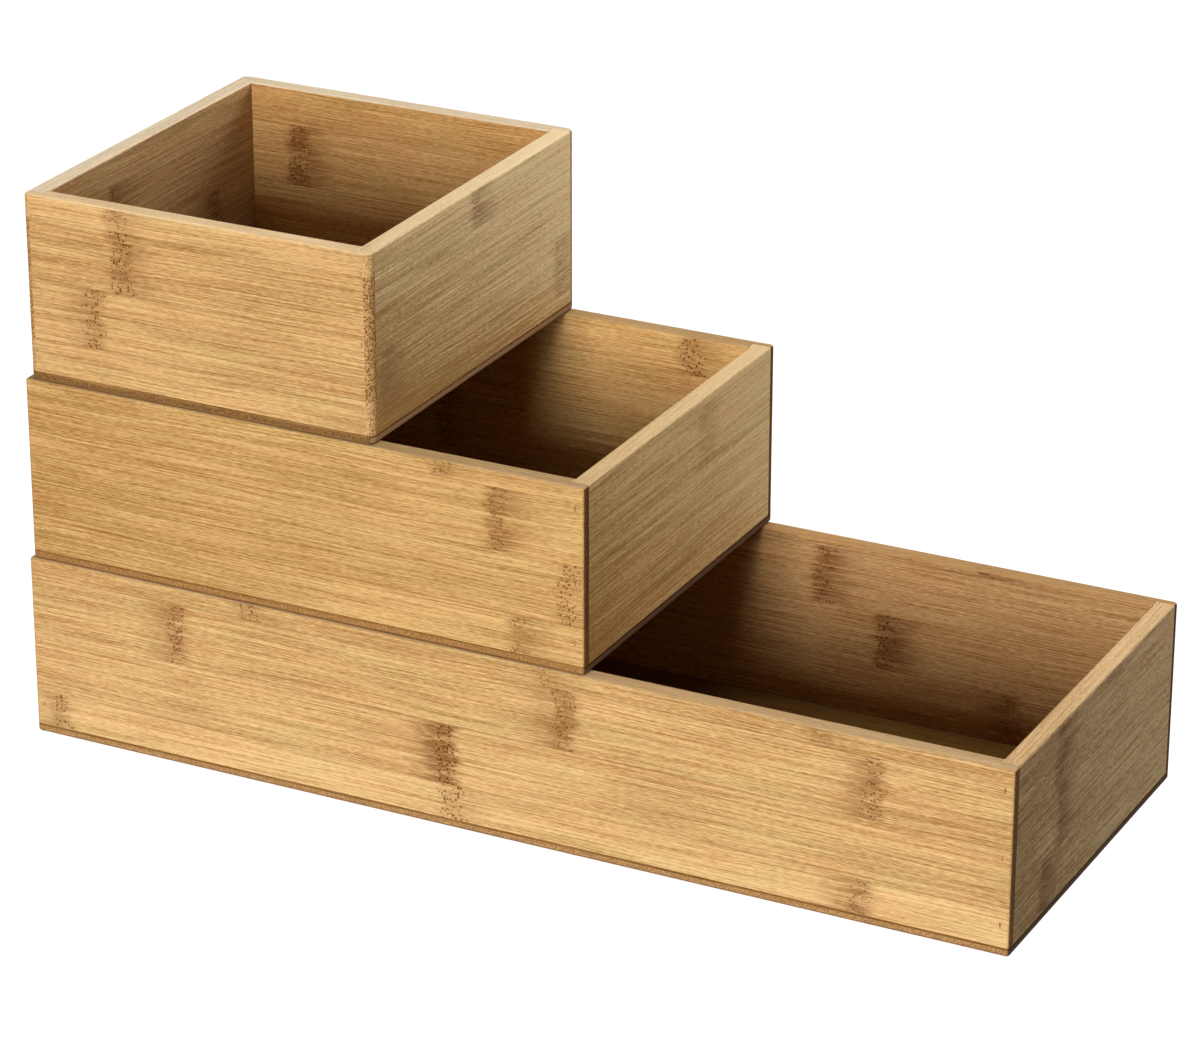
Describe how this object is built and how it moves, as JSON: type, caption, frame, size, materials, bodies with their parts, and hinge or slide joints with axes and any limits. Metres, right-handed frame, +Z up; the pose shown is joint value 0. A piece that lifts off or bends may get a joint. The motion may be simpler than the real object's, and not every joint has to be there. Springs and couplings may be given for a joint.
{
  "type": "compartment organizer",
  "caption": "Open rectangular bamboo trays of one depth and height and stepped lengths, stacked flush at one end; each is a thin base panel under nailed, rabbeted walls.",
  "frame": {"origin": "middle of the large box's underside, on the surface that the stack stands on", "axes": "+X along the boxes' lengths towards the end where they step down, +Y from front to back, +Z up"},
  "size_m": [0.38, 0.15, 0.207],
  "materials": {
    "wall_bamboo": "clear matt lacquer on laminated bamboo",
    "base_bamboo": "clear matt lacquer on darker, heat-treated bamboo ply",
    "brad_steel": "plain drawn wire"
  },
  "bodies": {
    "large_box": {"large_box_base_panel": "base_bamboo", "large_box_front_wall": "wall_bamboo", "large_box_back_wall": "wall_bamboo", "large_box_left_wall": "wall_bamboo", "large_box_right_wall": "wall_bamboo", "large_box_brad_front_left_low": "brad_steel", "large_box_brad_front_left_mid": "brad_steel", "large_box_brad_front_left_high": "brad_steel", "large_box_brad_front_right_low": "brad_steel", "large_box_brad_front_right_mid": "brad_steel", "large_box_brad_front_right_high": "brad_steel", "large_box_brad_back_left_low": "brad_steel", "large_box_brad_back_left_mid": "brad_steel", "large_box_brad_back_left_high": "brad_steel", "large_box_brad_back_right_low": "brad_steel", "large_box_brad_back_right_mid": "brad_steel", "large_box_brad_back_right_high": "brad_steel"},
    "middle_box": {"middle_box_base_panel": "base_bamboo", "middle_box_front_wall": "wall_bamboo", "middle_box_back_wall": "wall_bamboo", "middle_box_left_wall": "wall_bamboo", "middle_box_right_wall": "wall_bamboo", "middle_box_brad_front_left_low": "brad_steel", "middle_box_brad_front_left_mid": "brad_steel", "middle_box_brad_front_left_high": "brad_steel", "middle_box_brad_front_right_low": "brad_steel", "middle_box_brad_front_right_mid": "brad_steel", "middle_box_brad_front_right_high": "brad_steel", "middle_box_brad_back_left_low": "brad_steel", "middle_box_brad_back_left_mid": "brad_steel", "middle_box_brad_back_left_high": "brad_steel", "middle_box_brad_back_right_low": "brad_steel", "middle_box_brad_back_right_mid": "brad_steel", "middle_box_brad_back_right_high": "brad_steel"},
    "top_box": {"top_box_base_panel": "base_bamboo", "top_box_front_wall": "wall_bamboo", "top_box_back_wall": "wall_bamboo", "top_box_left_wall": "wall_bamboo", "top_box_right_wall": "wall_bamboo", "top_box_brad_front_left_low": "brad_steel", "top_box_brad_front_left_mid": "brad_steel", "top_box_brad_front_left_high": "brad_steel", "top_box_brad_front_right_low": "brad_steel", "top_box_brad_front_right_mid": "brad_steel", "top_box_brad_front_right_high": "brad_steel", "top_box_brad_back_left_low": "brad_steel", "top_box_brad_back_left_mid": "brad_steel", "top_box_brad_back_left_high": "brad_steel", "top_box_brad_back_right_low": "brad_steel", "top_box_brad_back_right_mid": "brad_steel", "top_box_brad_back_right_high": "brad_steel"}
  },
  "joints": [
    {"name": "middle_box_lift", "type": "slide", "parent": "large_box", "child": "middle_box", "axis": [0, 0, 1], "range_m": [0, 0.1]},
    {"name": "top_box_lift", "type": "slide", "parent": "middle_box", "child": "top_box", "axis": [0, 0, 1], "range_m": [0, 0.1]}
  ]
}
